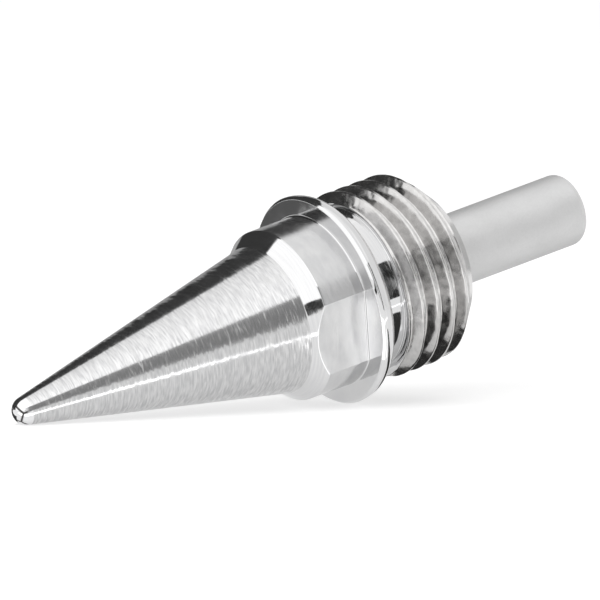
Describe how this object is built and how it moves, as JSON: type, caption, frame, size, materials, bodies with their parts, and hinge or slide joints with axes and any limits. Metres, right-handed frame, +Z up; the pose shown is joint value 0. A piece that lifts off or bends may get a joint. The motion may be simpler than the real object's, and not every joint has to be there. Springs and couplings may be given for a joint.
{
  "type": "gas soldering iron tip",
  "caption": "Turned tip for a gas soldering iron: long round-nosed cone, collar with wrench flats, seating flange, fine threaded shank and slim heat rod.",
  "frame": {"origin": "the bench point under the middle of the tip as it lies at rest", "axes": "+Z up; +X along the bench from the nose towards the heat rod. The tip's own axis rises 14.33 degrees from +X in the XZ plane, because the tip lies on the rim of its flange and on its nose; +Y is across it"},
  "size_m": [0.0274, 0.0088, 0.0092],
  "materials": {
    "plated_copper": "bright plating over copper, with fine grinding marks round the cone and a satin heat rod"
  },
  "bodies": {
    "root": {"soldering_tip": "plated_copper"}
  },
  "joints": []
}
